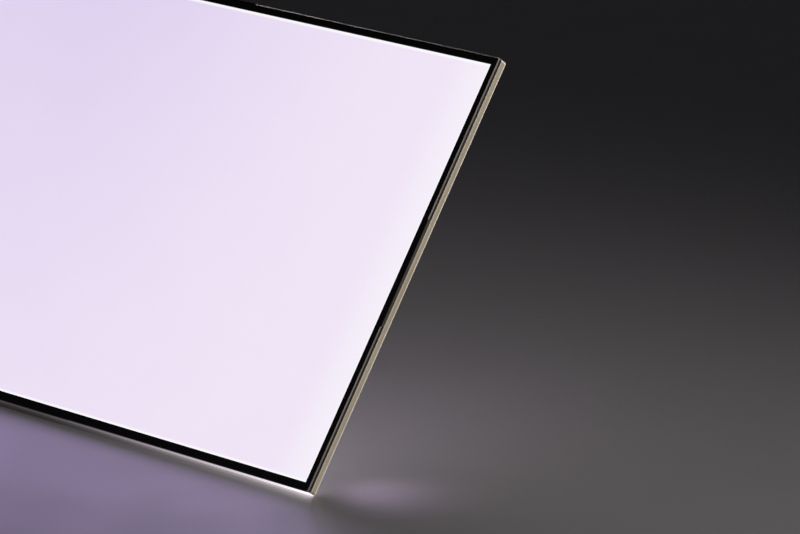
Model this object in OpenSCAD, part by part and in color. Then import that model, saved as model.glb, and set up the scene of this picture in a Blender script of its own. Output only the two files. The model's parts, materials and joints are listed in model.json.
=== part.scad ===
// Thin edge-lit LED panel light that leans back on a fold-out rear stand.
//
// Everything is modelled with the panel lying face down: X runs along its width, Y up its height
// from the bottom edge, and Z is the depth behind the front face. stood_up() then sets the panel
// on its bottom edge, leans it back and puts the origin under the middle of its box.

/* [Lit area] */
// Width of the lit window
lit_w = 300; // [280:1:330]
// Height of the lit window
lit_h = 180; // [170:1:200]
// Width of the dark border above and below the window
border = 3.4; // [3.3:0.1:5]
// Width of the dark border at the window's two ends
side_border = 3; // [3:0.1:5]

/* [Panel edge] */
// Radius of the panel's corners, seen from the front
corner_r = 1.2; // [1.2:0.1:2.5]
// Thickness of the bezel's front plate
bezel_t = 0.6; // [0.6:0.05:0.8]
// Size of the bevel round the bezel's front edge
bevel = 0.5; // [0.2:0.05:0.5]
// Depth of the shadow groove between the bezel and the moulded frame
groove_h = 0.9; // [0.8:0.05:1.1]
// How far the groove's floor is set in from the panel's side
groove_in = 0.35; // [0.3:0.05:0.4]
// Height of the moulded frame's side
frame_h = 3.5; // [3.5:0.1:4.5]
// Length of the snap tab in the middle of each side
tab_len = 46; // [30:1:60]

/* [Light stack] */
// Thickness of the light-blocking tape under the bezel
tape_t = 0.1; // [0.05:0.01:0.1]
// Thickness of the top diffuser sheet
diffuser_t = 0.2; // [0.15:0.01:0.2]
// Thickness of each of the other films
film_t = 0.15; // [0.1:0.01:0.15]
// Thickness of the acrylic light guide
guide_t = 2; // [1.8:0.1:2]
// Thickness of the back plate
plate_t = 0.8; // [0.8:0.1:1]
// Number of LEDs on each strip
led_count = 28; // [20:1:29]

/* [Driver housing] */
// Width of the housing
shell_w = 124; // [120:1:130]
// Height of the housing
shell_h = 52; // [52:1:54]
// How far the housing stands out behind the back plate
shell_d = 14; // [14:0.5:16]
// Wall thickness of the housing
shell_wall = 1.8; // [1.6:0.1:2]
// Distance from the panel's bottom edge to the bottom of the housing
shell_y = 122; // [122:1:126]
// Radius of the dimmer wheel
wheel_r = 9; // [8.5:0.1:9.5]
// How far the dimmer wheel stands out of the housing's side
wheel_out = 2; // [1.5:0.1:2.2]
// Radius of the power button
button_r = 5; // [4:0.1:5.5]

/* [Stand] */
// Angle that the panel leans back from upright
lean = 37; // [30:0.5:42]
// Angle between the open leg and the vertical
leg_splay = 29; // [22:0.5:32]
// Distance from the panel's bottom edge to the hinge axis
hinge_y = 112; // [108:1:112]
// Width of the leg
leg_w = 76; // [72:1:84]
// Thickness of the leg plate
leg_t = 2; // [1.5:0.1:2]
// Radius of the hinge pin
pin_r = 1.5; // [1.2:0.1:1.5]

/* [Hidden] */
$fn = 64;

gap = 0.05;      // clearance between pieces that are fitted by hand
press_gap = 0.02;  // clearance where a piece is pressed in
eps = 0.01;      // how far a cut runs past the face that it opens

// Screws: head radius, head height, shank radius and shank length
plate_screw = [0.95, 0.5, 0.65, 2.2];
housing_screw = [2.3, 1.7, 1.2, 6.5];
board_screw = [1.8, 1.2, 0.8, 3.6];
hinge_screw = [1.9, 1.1, 0.95, 1.9];

// Panel outline and the depths of its layers
panel_w = lit_w + 2 * side_border;
panel_h = lit_h + 2 * border;
frame_z = bezel_t + groove_h;
panel_t = frame_z + frame_h;
edge_r = 0.4;
diffuser_z = bezel_t + tape_t;
upper_prism_z = diffuser_z + diffuser_t;
lower_prism_z = upper_prism_z + film_t;
lower_diffuser_z = lower_prism_z + film_t;
guide_z = lower_diffuser_z + film_t;
reflector_z = guide_z + guide_t;
foam_z = reflector_z + film_t;
plate_z = panel_t - plate_t;

// Distances in from the panel's side
lip = 0.9;                                 // outer wall of the frame
rib_t = 0.8;                               // rib behind the bezel, which floors the groove
film_in = groove_in + rib_t + 0.3;
rail_in = 3;                               // solid top and bottom rails of the frame
guide_in = rail_in + 0.1;
heat_rail_t = 0.4;
board_tape_t = 0.1;
led_board_t = 0.5;
led = [0.6, 3, 1.4];                       // one LED: thickness, width and height
heat_rail_in = lip + 0.1;
led_board_in = heat_rail_in + heat_rail_t + board_tape_t;
led_in = led_board_in + led_board_t;
guide_end_in = led_in + led[0] + 0.1;
heat_foot = 13;
led_strip_len = panel_h - 2 * guide_in;

// Flat flexes from the LED boards to the driver
flex_y = 128;
flex_w = 8;
flex_t = 0.12;
flex_x = 24;
flex_z = foam_z + 0.03;
connector_z = panel_t + 1;

// Screws along the top and bottom rails
plate_screw_in = (lip + rail_in) / 2;
plate_screw_x = [for (i = [-2.5:1:2.5]) i * (panel_w - 20) / 5];

// Driver housing and what it holds
shell_z = panel_t;
shell_back = shell_z + shell_d;
shell_cy = shell_y + shell_h / 2;
shell_r = 6;
rim_r = 2;
post_x = shell_w / 2 - 8;
post_dy = shell_h / 2 - 6;
post_z = shell_back - 3.8;
screw_seat_z = shell_back - 2.2;
board_z = panel_t + 3;
board_t = 1.6;
parts_z = board_z + board_t;
board_w = 100;
board_h = 44;
board_post_x = board_w / 2 - 5;
board_post_dy = board_h / 2 - 4;
ear_w = shell_w / 2 - shell_wall - 0.7;
ear_h = 16;
standoff_r = 2.6;
standoff_foot_r = 1.6;
board_post_r = 2.2;
board_foot_r = 1.2;
wheel_x = -(shell_w / 2 + wheel_out - wheel_r);
wheel_t = 4;
wheel_z = parts_z + 2;
shaft_r = 2;
button_x = -38;
button_y = shell_cy - 14;
button_travel = 0.6;
button_proud = 0.8;
switch_floor = 1.9;
cap_z = parts_z + 5;
plunger_r = 1.75;
pipe_x = button_x + 13;
pipe_r = 1.5;
insert_depth = 7.5;
insert_r = 4.75;
insert_flange_r = 6;
insert_flange_t = 0.75;
quarter_inch_tap_r = 2.55;
inlet_z = parts_z + 3.6;
inlet_bore_r = 3.15;
inlet_nose_r = 3.9;
inlet_depth = 8.5;
inlet_pin_r = 1;

// Stand: the leg folds about an axis along X
hinge_z = panel_t + 4.7;
base_t = 1.2;
knuckle_r = 3.2;
knuckle_x = 14;
knuckle_len = 14;
lug_gap = 0.3;
lug_t = 3.7;
lug_r = 3.6;
hinge_screw_x = [12, 30];
hinge_screw_dy = 6.2;
fold_angle = lean + leg_splay;
leg_z = -knuckle_r;
leg_top = -4.5;
pad_skin = 1;
leg_stop_gap = 0.05;
catch_y = 34;      // magnet that holds the folded leg
disc_r = 5;        // magnet and its strike disc

// The panel stands on the rounded back edge of its bottom side
lift = (panel_t - edge_r) * sin(lean) - edge_r * cos(lean) + edge_r;
hinge_height = lift - hinge_z * sin(lean) + hinge_y * cos(lean);
leg_reach = hinge_height / cos(leg_splay);
function pad_floor(z) = -(hinge_height + z * sin(leg_splay)) / cos(leg_splay);
pad_back_z = leg_z + leg_t + pad_skin;
foot_back = hinge_z * cos(lean) + hinge_y * sin(lean)
    - pad_floor(pad_back_z) * sin(leg_splay) + pad_back_z * cos(leg_splay);
shift_y = -foot_back / 2;

bezel_black = [0.05, 0.045, 0.05];
ivory = [0.86, 0.82, 0.72];
lit_lilac = [0.94, 0.91, 0.97];
pcb_green = [0.07, 0.3, 0.16];
housing_grey = [0.13, 0.13, 0.14];
bare_metal = [0.78, 0.79, 0.8];

// ---- placing ----

module stood_up() {
    translate([0, shift_y, lift])
        rotate([-lean, 0, 0])
            rotate([90, 0, 180])
                children();
}

// The leg's own frame: the axis at the origin, the leg along -Y as it lies folded
module leg_open() {
    stood_up()
        translate([0, hinge_y, hinge_z])
            rotate([-fold_angle, 0, 0])
                children();
}

module both_ends() {
    children();
    mirror([1, 0, 0]) children();
}

// ---- general shapes ----

// A flat box given its inset from the panel's four sides
module sheet(inset, z, t) {
    translate([-panel_w / 2 + inset, inset, z]) cube([panel_w - 2 * inset, panel_h - 2 * inset, t]);
}

// A slab with rounded corners whose rim has the child profile: x runs outwards from 0 to corner,
// and y is the height
module rimmed_slab(w, h, corner, t) {
    cx = w / 2 - corner;
    cy = h / 2 - corner;
    translate([-cx, -cy, 0]) cube([2 * cx, 2 * cy, t]);
    for (side = [0, 180]) rotate([0, 0, side]) {
        translate([-cx, cy, 0]) rotate([90, 0, 90]) linear_extrude(2 * cx) children();
        translate([cx, cy, 0]) rotate([90, 0, 0]) linear_extrude(2 * cy) children();
        translate([cx, cy, 0]) rotate_extrude(angle = 90) children();
        translate([-cx, cy, 0]) rotate([0, 0, 90]) rotate_extrude(angle = 90) children();
    }
}

module panel_slab(t, inset = 0) {
    translate([0, panel_h / 2, 0])
        rimmed_slab(panel_w - 2 * inset, panel_h - 2 * inset, corner_r, t) children();
}

module rounded_rectangle(w, h, r) {
    square([w - 2 * r, h], center = true);
    square([w, h - 2 * r], center = true);
    for (x = [-1, 1], y = [-1, 1]) translate([x * (w / 2 - r), y * (h / 2 - r)]) circle(r);
}

module at_housing_corners(dx, dy) {
    for (x = [-dx, dx], y = [-dy, dy]) translate([x, shell_cy + y, 0]) children();
}

module x_cylinder(r, length) {
    rotate([0, 90, 0]) cylinder(r = r, h = length);
}

// A pan-head screw whose head stands on z = 0 and whose shank runs down
module screw(size) {
    head_r = size[0];
    head_t = size[1];
    difference() {
        union() {
            cylinder(r = head_r, h = head_t);
            translate([0, 0, -size[3]]) cylinder(r = size[2], h = size[3] + eps);
        }
        for (turn = [0, 90]) rotate([0, 0, turn])
            translate([-head_r * 0.6, -head_r * 0.12, head_t * 0.5])
                cube([head_r * 1.2, head_r * 0.24, head_t]);
    }
}

// ---- panel front and frame ----

// The middle of each side, where the bezel snaps into the frame: x runs along the side
module at_each_side() {
    for (side = [0, 1]) mirror([side, 0, 0])
        translate([panel_w / 2, panel_h / 2, 0]) rotate([0, 0, -90]) children();
    translate([0, panel_h, 0]) children();
    rotate([0, 0, 180]) children();
}

module front_bezel() {
    tongue_len = tab_len - 4;
    tongue_t = 0.35;
    tongue_h = 0.8;
    nib_x = 93;
    nib_len = 3;
    nib_out = 0.25;
    color(bezel_black) stood_up() {
        difference() {
            panel_slab(bezel_t) polygon([
                [0, 0], [corner_r - bevel, 0], [corner_r, bevel], [corner_r, bezel_t], [0, bezel_t]
            ]);
            translate([-lit_w / 2, border, -eps]) cube([lit_w, lit_h, bezel_t + 2 * eps]);
        }
        // rib that floors the groove and stands on the frame
        difference() {
            translate([-panel_w / 2 + groove_in, groove_in, bezel_t - eps])
                cube([panel_w - 2 * groove_in, panel_h - 2 * groove_in, groove_h + eps]);
            sheet(groove_in + rib_t, bezel_t - 2 * eps, groove_h + 4 * eps);
        }
        at_each_side() {
            // the tab is square-edged and flush with the frame's side
            translate([-tab_len / 2, -bevel - eps, 0]) cube([tab_len, bevel + eps, frame_z]);
            translate([-tongue_len / 2, -groove_in - tongue_t, frame_z - eps])
                cube([tongue_len, tongue_t, tongue_h + eps]);
        }
        // release nibs on the top side
        both_ends() translate([nib_x - nib_len / 2, panel_h - groove_in, bezel_t])
            cube([nib_len, groove_in + nib_out, groove_h]);
    }
}

module mould_frame() {
    slot_len = tab_len - 3.6;
    slot_w = 0.45;
    slot_h = 0.9;
    color(ivory) stood_up() difference() {
        translate([0, 0, frame_z]) panel_slab(frame_h) {
            square([corner_r - edge_r, frame_h]);
            translate([0, edge_r]) square([corner_r, frame_h - 2 * edge_r]);
            for (y = [edge_r, frame_h - edge_r]) translate([corner_r - edge_r, y]) circle(edge_r, $fn = 32);
        }
        // space for the light stack, between the solid top and bottom rails
        translate([-panel_w / 2 + lip, rail_in, frame_z - eps])
            cube([panel_w - 2 * lip, panel_h - 2 * rail_in, frame_h + 2 * eps]);
        // ledge that the back plate lies on
        sheet(lip, plate_z, plate_t + eps);
        at_each_side() translate([-slot_len / 2, -groove_in - slot_w + gap, frame_z - eps])
            cube([slot_len, slot_w, slot_h]);
        for (x = plate_screw_x, y = [plate_screw_in, panel_h - plate_screw_in])
            translate([x, y, plate_z - plate_screw[3]])
                cylinder(r = plate_screw[2] + gap, h = plate_screw[3] + eps, $fn = 24);
    }
}

module rim_tape() {
    color([0.02, 0.02, 0.02]) stood_up() difference() {
        sheet(groove_in + rib_t + gap, bezel_t, tape_t);
        translate([-lit_w / 2 - 0.3, border - 0.3, bezel_t - eps])
            cube([lit_w + 0.6, lit_h + 0.6, tape_t + 2 * eps]);
    }
}

// ---- light stack ----

// A sheet as large as the light guide, which stops short of the LEDs at both ends
module guide_sheet(z, t) {
    translate([-panel_w / 2 + guide_end_in, guide_in, z])
        cube([panel_w - 2 * guide_end_in, panel_h - 2 * guide_in, t]);
}

module top_diffuser() {
    color(lit_lilac) stood_up() sheet(film_in, diffuser_z, diffuser_t);
}

module upper_prism_film() {
    color([0.85, 0.88, 0.92]) stood_up() sheet(film_in, upper_prism_z, film_t);
}

module lower_prism_film() {
    color([0.8, 0.84, 0.9]) stood_up() sheet(film_in, lower_prism_z, film_t);
}

module lower_diffuser() {
    color([0.92, 0.92, 0.94]) stood_up() sheet(film_in, lower_diffuser_z, film_t);
}

module light_guide() {
    color([0.75, 0.88, 0.92]) stood_up() guide_sheet(guide_z, guide_t);
}

module reflector_sheet() {
    color([0.97, 0.97, 0.97]) stood_up() guide_sheet(reflector_z, film_t);
}

module foam_backing() {
    foam_x = panel_w / 2 - heat_rail_in - heat_foot - 1;
    room = 2;      // round each flex
    color([0.2, 0.2, 0.2]) stood_up() difference() {
        translate([-foam_x, guide_in, foam_z])
            cube([2 * foam_x, panel_h - 2 * guide_in, plate_z - foam_z]);
        both_ends() translate([flex_x - 3, flex_y - room, foam_z - eps])
            cube([foam_x, flex_w + 2 * room, plate_z]);
    }
}

module back_plate() {
    bead_x = 108;
    bead_len = 130;
    bead_w = 8;
    bead_t = 0.5;
    flex_slot = [1.4, flex_w + 1, plate_t + 2 * eps];
    color(bare_metal) stood_up() difference() {
        union() {
            sheet(lip + gap, plate_z, plate_t);
            for (x = [-bead_x, bead_x]) translate([x, panel_h / 2, panel_t - eps])
                linear_extrude(bead_t + eps) rounded_rectangle(bead_w, bead_len, bead_w / 2 - eps);
        }
        for (x = plate_screw_x, y = [plate_screw_in, panel_h - plate_screw_in]) translate([x, y, 0]) {
            translate([0, 0, plate_z - eps]) cylinder(r = plate_screw[2] + 0.1, h = 2, $fn = 24);
            translate([0, 0, panel_t - plate_screw[1]])
                cylinder(r = plate_screw[0] + gap, h = 1, $fn = 24);
        }
        both_ends() translate([flex_x - 0.6, flex_y - 0.5, plate_z - eps]) cube(flex_slot);
        at_housing_corners(post_x, post_dy) translate([0, 0, plate_z - eps])
            cylinder(r = standoff_foot_r + gap, h = 2);
        at_housing_corners(board_post_x, board_post_dy) translate([0, 0, plate_z - eps])
            cylinder(r = board_foot_r + gap, h = 2);
        at_hinge_screws() translate([0, 0, plate_z - eps]) cylinder(r = hinge_screw[2] + gap, h = 2);
    }
}

// ---- LED strips, one at each end of the guide (drawn for +X) ----

module heat_rail_section() {
    x = panel_w / 2 - heat_rail_in;
    upright_z = frame_z + gap;
    translate([x - heat_rail_t, guide_in, upright_z])
        cube([heat_rail_t, led_strip_len, plate_z - upright_z]);
    translate([x - heat_foot, guide_in, plate_z - heat_rail_t])
        cube([heat_foot, led_strip_len, heat_rail_t]);
}

module board_tape_section() {
    translate([panel_w / 2 - led_board_in, guide_in + 1, frame_z + 0.1])
        cube([board_tape_t, led_strip_len - 2, 2]);
}

module led_board_section() {
    translate([panel_w / 2 - led_in, guide_in + 0.5, frame_z + gap])
        cube([led_board_t, led_strip_len - 1, 2.05]);
}

module led_row() {
    end_space = 2;
    pitch = (led_strip_len - 2 * end_space) / led_count;
    first_y = guide_in + end_space + (pitch - led[1]) / 2;
    for (i = [0:led_count - 1])
        translate([panel_w / 2 - led_in - led[0], first_y + i * pitch, guide_z + 0.3])
            difference() {
                cube(led);
                translate([-eps, 0.4, 0.3]) cube([0.15, led[1] - 0.8, led[2] - 0.6]);
            }
}

module left_heat_rail() { color(bare_metal) stood_up() heat_rail_section(); }
module right_heat_rail() { color(bare_metal) stood_up() mirror([1, 0, 0]) heat_rail_section(); }
module left_board_tape() { color([0.9, 0.9, 0.85]) stood_up() board_tape_section(); }
module right_board_tape() { color([0.9, 0.9, 0.85]) stood_up() mirror([1, 0, 0]) board_tape_section(); }
module left_led_board() { color("white") stood_up() led_board_section(); }
module right_led_board() { color("white") stood_up() mirror([1, 0, 0]) led_board_section(); }
module left_leds() { color([0.95, 0.85, 0.35]) stood_up() led_row(); }
module right_leds() { color([0.95, 0.85, 0.35]) stood_up() mirror([1, 0, 0]) led_row(); }

// A flat flex from the LED board, behind the reflector and out through the back plate
module flex_run() {
    start_x = panel_w / 2 - led_in;
    end_z = connector_z + 1;
    translate([flex_x, flex_y, flex_z]) cube([start_x - flex_x, flex_w, flex_t]);
    translate([flex_x, flex_y, flex_z]) cube([flex_t, flex_w, end_z - flex_z]);
    translate([flex_x - 3, flex_y, end_z - flex_t]) cube([3 + flex_t, flex_w, flex_t]);
}

module left_flex() { color([0.85, 0.5, 0.1]) stood_up() flex_run(); }
module right_flex() { color([0.85, 0.5, 0.1]) stood_up() mirror([1, 0, 0]) flex_run(); }

module plate_screws() {
    color([0.6, 0.6, 0.62]) stood_up()
        for (x = plate_screw_x, y = [plate_screw_in, panel_h - plate_screw_in])
            translate([x, y, panel_t - plate_screw[1]]) screw(plate_screw, $fn = 24);
}

// ---- driver housing ----

module shell_form(grow, back) {
    translate([0, shell_cy, shell_z])
        rimmed_slab(shell_w + 2 * grow, shell_h + 2 * grow, shell_r + grow, back) children();
}

module rear_housing() {
    inner_d = shell_d - shell_wall;
    vent_pitch = 6;
    wheel_slot = 2 * (wheel_r - wheel_out + 0.85);
    wheel_room = 0.5;
    boss_r = 4.2;
    insert_boss_r = 7;
    vents_each_way = 7;
    vent = [2, shell_wall + 2 * eps, 7];
    vent_lift = 4;
    color(housing_grey) stood_up() difference() {
        union() {
            difference() {
                shell_form(0, shell_d) {
                    square([shell_r - rim_r, shell_d]);
                    square([shell_r, shell_d - rim_r]);
                    translate([shell_r - rim_r, shell_d - rim_r]) circle(rim_r, $fn = 48);
                }
                translate([0, 0, -eps]) shell_form(-shell_wall, inner_d + eps)
                    square([shell_r - shell_wall, inner_d + eps]);
            }
            at_housing_corners(post_x, post_dy) translate([0, 0, post_z])
                cylinder(r = boss_r, h = shell_back - post_z - 0.5);
            translate([0, shell_cy, shell_back - insert_depth - 0.9])
                cylinder(r = insert_boss_r, h = insert_depth);
        }
        at_housing_corners(post_x, post_dy) {
            translate([0, 0, post_z - eps]) cylinder(r = housing_screw[2] + 0.2, h = shell_d);
            translate([0, 0, screw_seat_z]) cylinder(r = housing_screw[0] + 0.3, h = shell_d);
        }
        translate([0, shell_cy, shell_back - insert_depth])
            cylinder(r = insert_r + press_gap, h = shell_d);
        translate([0, shell_cy, shell_back - insert_flange_t - gap])
            cylinder(r = insert_flange_r + gap, h = shell_d);
        translate([button_x, button_y, shell_back - 3]) cylinder(r = button_r + 0.15, h = 4);
        translate([pipe_x, button_y, shell_back - 3]) cylinder(r = pipe_r + gap, h = 4, $fn = 32);
        // slot for the dimmer wheel
        translate([-shell_w / 2 - eps, shell_cy - wheel_slot / 2, wheel_z - wheel_room])
            cube([shell_wall + 1, wheel_slot, wheel_t + 2 * wheel_room]);
        translate([shell_w / 2 - shell_wall - 1, shell_cy, inlet_z]) x_cylinder(inlet_nose_r + gap, 4);
        // vents through the top and bottom walls
        for (i = [-vents_each_way:vents_each_way], y = [shell_y, shell_y + shell_h - shell_wall])
            translate([i * vent_pitch - vent[0] / 2, y - eps, shell_z + vent_lift]) cube(vent);
    }
}

module housing_standoffs() {
    color([0.8, 0.65, 0.3]) stood_up() at_housing_corners(post_x, post_dy) difference() {
        union() {
            translate([0, 0, panel_t]) cylinder(r = standoff_r, h = post_z - panel_t);
            translate([0, 0, plate_z + gap]) cylinder(r = standoff_foot_r, h = 1);
        }
        translate([0, 0, post_z - 6]) cylinder(r = housing_screw[2] + gap, h = 7);
    }
}

module housing_screws() {
    color([0.2, 0.2, 0.22]) stood_up() at_housing_corners(post_x, post_dy)
        translate([0, 0, screw_seat_z]) screw(housing_screw);
}

module board_standoffs() {
    color([0.8, 0.65, 0.3]) stood_up() at_housing_corners(board_post_x, board_post_dy) difference() {
        union() {
            translate([0, 0, panel_t]) cylinder(r = board_post_r, h = board_z - panel_t);
            translate([0, 0, plate_z + gap]) cylinder(r = board_foot_r, h = 1);
        }
        translate([0, 0, panel_t + 0.8]) cylinder(r = board_screw[2] + gap, h = 3);
    }
}

module board_screws() {
    color([0.75, 0.75, 0.77]) stood_up() at_housing_corners(board_post_x, board_post_dy)
        translate([0, 0, parts_z]) screw(board_screw, $fn = 32);
}

module driver_board() {
    color(pcb_green) stood_up() difference() {
        translate([0, shell_cy, board_z]) {
            translate([-board_w / 2, -board_h / 2, 0]) cube([board_w, board_h, board_t]);
            translate([-ear_w, -ear_h / 2, 0]) cube([2 * ear_w, ear_h, board_t]);
        }
        at_housing_corners(board_post_x, board_post_dy) translate([0, 0, board_z - eps])
            cylinder(r = board_screw[2] + 0.1, h = board_t + 2 * eps, $fn = 32);
    }
}

module inductor() {
    core_w = 12;
    core_h = 6;
    ring = [3.8, 4.6];
    color([0.16, 0.16, 0.17]) stood_up() translate([20, shell_cy + 10, parts_z]) difference() {
        linear_extrude(core_h) rounded_rectangle(core_w, core_w, 2);
        translate([0, 0, core_h - 0.5]) difference() {
            cylinder(r = ring[1], h = 1);
            translate([0, 0, -eps]) cylinder(r = ring[0], h = 2);
        }
    }
}

module capacitors() {
    spots = [[34, -14], [25, -14], [36, 13]];
    base_w = 6.8;
    base_h = 0.7;
    can_r = 3.15;
    can_h = 5.2;
    color([0.7, 0.7, 0.74]) stood_up() for (s = spots) translate([s[0], shell_cy + s[1], parts_z]) {
        translate([-base_w / 2, -base_w / 2, 0]) cube([base_w, base_w, base_h]);
        translate([0, 0, base_h - eps]) cylinder(r = can_r, h = can_h);
    }
}

module chip(w, h, t, leads) {
    pitch = h / (leads + 1);
    translate([-w / 2, -h / 2, 0.1]) cube([w, h, t]);
    for (i = [1:leads]) translate([-w / 2 - 0.9, -h / 2 + i * pitch - 0.2, 0])
        cube([w + 1.8, 0.4, 0.3]);
}

module driver_chips() {
    color([0.08, 0.08, 0.09]) stood_up() translate([0, shell_cy, parts_z]) {
        translate([2, 15.5, 0]) chip(5, 8, 1.6, 6);
        translate([-15, 13, 0]) chip(7, 7, 1.2, 10);
    }
}

module power_transistors() {
    color([0.1, 0.1, 0.1]) stood_up() for (x = [-16, -26]) translate([x, shell_cy, parts_z]) {
        translate([-3.2, -3, 0]) cube([6.4, 6, 2.2]);
        for (lead = [-2.2, 0, 2.2]) translate([lead - 0.3, -5, 0]) cube([0.6, 2.1, 0.5]);
    }
}

module flex_connectors() {
    color([0.92, 0.9, 0.85]) stood_up() both_ends() difference() {
        translate([flex_x - 5.5, flex_y - 1, connector_z]) cube([4, flex_w + 2, board_z - connector_z]);
        translate([flex_x - 4, flex_y - 0.2, connector_z + 0.7]) cube([4, flex_w + 0.4, 0.5]);
    }
}

module dc_inlet() {
    wall_x = shell_w / 2 - shell_wall;
    body = [14, 9, 7.2];
    color([0.05, 0.05, 0.05]) stood_up() translate([0, shell_cy, inlet_z]) difference() {
        union() {
            translate([wall_x - body[0], -body[1] / 2, parts_z - inlet_z]) cube(body);
            translate([wall_x - eps, 0, 0]) x_cylinder(inlet_nose_r, shell_wall + eps);
        }
        translate([wall_x - inlet_depth, 0, 0]) x_cylinder(inlet_bore_r, inlet_depth + 2 * shell_wall);
    }
}

module dc_inlet_pin() {
    color(bare_metal) stood_up() translate([shell_w / 2 - shell_wall - inlet_depth, shell_cy, inlet_z])
        x_cylinder(inlet_pin_r, 8, $fn = 32);
}

module indicator_led() {
    package = [3.5, 2.8, 1.2];
    color("white") stood_up()
        translate([pipe_x - package[0] / 2, button_y - package[1] / 2, parts_z]) cube(package);
}

module indicator_light_pipe() {
    foot_z = parts_z + 1.3;
    proud = 0.2;
    color([0.75, 0.95, 0.8]) stood_up() translate([pipe_x, button_y, foot_z]) {
        cylinder(r = pipe_r, h = shell_back + proud - foot_z, $fn = 32);
        cylinder(r = 2.2, h = shell_back - shell_wall - foot_z, $fn = 32);
    }
}

module tripod_insert() {
    color([0.82, 0.66, 0.32]) stood_up() translate([0, shell_cy, shell_back - insert_depth]) difference() {
        union() {
            cylinder(r = insert_r, h = insert_depth);
            translate([0, 0, insert_depth - insert_flange_t])
                cylinder(r = insert_flange_r, h = insert_flange_t);
        }
        translate([0, 0, -eps]) cylinder(r = quarter_inch_tap_r, h = insert_depth + 2 * eps);
    }
}

// ---- controls ----

module switch_body() {
    body_w = 6.2;
    body_h = 3.4;
    color([0.1, 0.1, 0.1]) stood_up() translate([button_x, button_y, parts_z]) difference() {
        translate([-body_w / 2, -body_w / 2, 0]) cube([body_w, body_w, body_h]);
        translate([0, 0, switch_floor]) cylinder(r = plunger_r + gap, h = 3);
    }
}

module switch_plunger() {
    foot_z = parts_z + switch_floor + button_travel + 0.1;
    color([0.85, 0.85, 0.85]) stood_up() translate([button_x, button_y, foot_z])
        cylinder(r = plunger_r, h = cap_z - foot_z);
}

module power_button() {
    dish_r = 22;
    dish_depth = 0.35;
    flange_w = 1.2;
    top = shell_back + button_proud;
    color([0.25, 0.25, 0.26]) stood_up() translate([button_x, button_y, 0]) difference() {
        union() {
            translate([0, 0, cap_z]) cylinder(r = button_r, h = top - cap_z);
            translate([0, 0, cap_z]) cylinder(r = button_r + flange_w, h = flange_w);
        }
        translate([0, 0, top - dish_depth + dish_r]) sphere(dish_r, $fn = 96);
    }
}

module dimmer_pot() {
    body = [9.8, 11, 1.6];
    color([0.2, 0.35, 0.6]) stood_up() translate([wheel_x, shell_cy, parts_z]) difference() {
        translate([-body[0] / 2, -body[1] / 2, 0]) cube(body);
        translate([0, 0, 0.4]) cylinder(r = shaft_r + gap, h = 2);
    }
}

module dimmer_shaft() {
    foot_z = parts_z + 0.6;
    color([0.9, 0.9, 0.9]) stood_up() translate([wheel_x, shell_cy, foot_z])
        cylinder(r = shaft_r, h = wheel_z + wheel_t - foot_z);
}

module dimmer_wheel() {
    teeth = 40;
    tooth_h = 0.35;
    hub_r = 3.6;
    rim_t = 2;
    step = 360 / teeth;
    rim = [for (i = [0:teeth - 1], side = [0, 1])
        let (r = wheel_r - side * tooth_h, a = (i + side / 2) * step) [r * cos(a), r * sin(a)]];
    color([0.18, 0.18, 0.19]) stood_up() translate([wheel_x, shell_cy, wheel_z]) difference() {
        linear_extrude(wheel_t) polygon(rim);
        translate([0, 0, -eps]) cylinder(r = shaft_r + press_gap, h = wheel_t + 1);
        translate([0, 0, wheel_t - 1]) difference() {
            cylinder(r = wheel_r - rim_t, h = 2);
            translate([0, 0, -eps]) cylinder(r = hub_r, h = 3);
        }
    }
}

// ---- stand ----

module at_hinge_screws() {
    both_ends() for (x = hinge_screw_x) translate([x, hinge_y + hinge_screw_dy, 0]) children();
}

// Two lugs on a base, drawn for +X
module hinge_bracket() {
    margin = 1.5;
    base_x = knuckle_x - lug_gap - lug_t - margin;
    base = [knuckle_len + 2 * (lug_gap + lug_t + margin), 14.6, base_t];
    translate([0, hinge_y, 0]) difference() {
        union() {
            translate([base_x, -6, panel_t]) cube(base);
            for (x = [knuckle_x - lug_gap - lug_t, knuckle_x + knuckle_len + lug_gap]) translate([x, 0, 0]) {
                translate([0, -lug_r, panel_t + base_t - eps])
                    cube([lug_t, 2 * lug_r, hinge_z - panel_t - base_t + eps]);
                translate([0, 0, hinge_z]) x_cylinder(lug_r, lug_t);
            }
        }
        translate([base_x, 0, hinge_z]) x_cylinder(pin_r + press_gap, base[0]);
        for (x = hinge_screw_x) translate([x, hinge_screw_dy, panel_t - eps])
            cylinder(r = hinge_screw[2] + 0.15, h = 2, $fn = 32);
    }
}

module left_hinge_bracket() { color([0.6, 0.6, 0.62]) stood_up() hinge_bracket(); }
module right_hinge_bracket() { color([0.6, 0.6, 0.62]) stood_up() mirror([1, 0, 0]) hinge_bracket(); }

module hinge_screws() {
    color([0.75, 0.75, 0.77]) stood_up() at_hinge_screws() translate([0, 0, panel_t + base_t])
        screw(hinge_screw, $fn = 32);
}

module hinge_pin() {
    past_lug = 0.8;
    half = knuckle_x + knuckle_len + lug_gap + lug_t + past_lug;
    color([0.7, 0.7, 0.72]) stood_up() translate([-half, hinge_y, hinge_z]) x_cylinder(pin_r, 2 * half);
}

module pin_clips() {
    x = knuckle_x + knuckle_len + lug_gap + lug_t + gap;
    color([0.5, 0.5, 0.5]) stood_up() both_ends() translate([x, hinge_y, hinge_z]) difference() {
        x_cylinder(3, 0.5);
        translate([-eps, 0, 0]) x_cylinder(pin_r + press_gap, 1);
    }
}

module friction_washers() {
    color([0.9, 0.88, 0.8]) stood_up() both_ends()
        for (x = [knuckle_x - lug_gap + gap, knuckle_x + knuckle_len + gap])
            translate([x, hinge_y, hinge_z]) difference() {
                x_cylinder(2.9, lug_gap - 2 * gap);
                translate([-eps, 0, 0]) x_cylinder(pin_r + gap, 1);
            }
}

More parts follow.
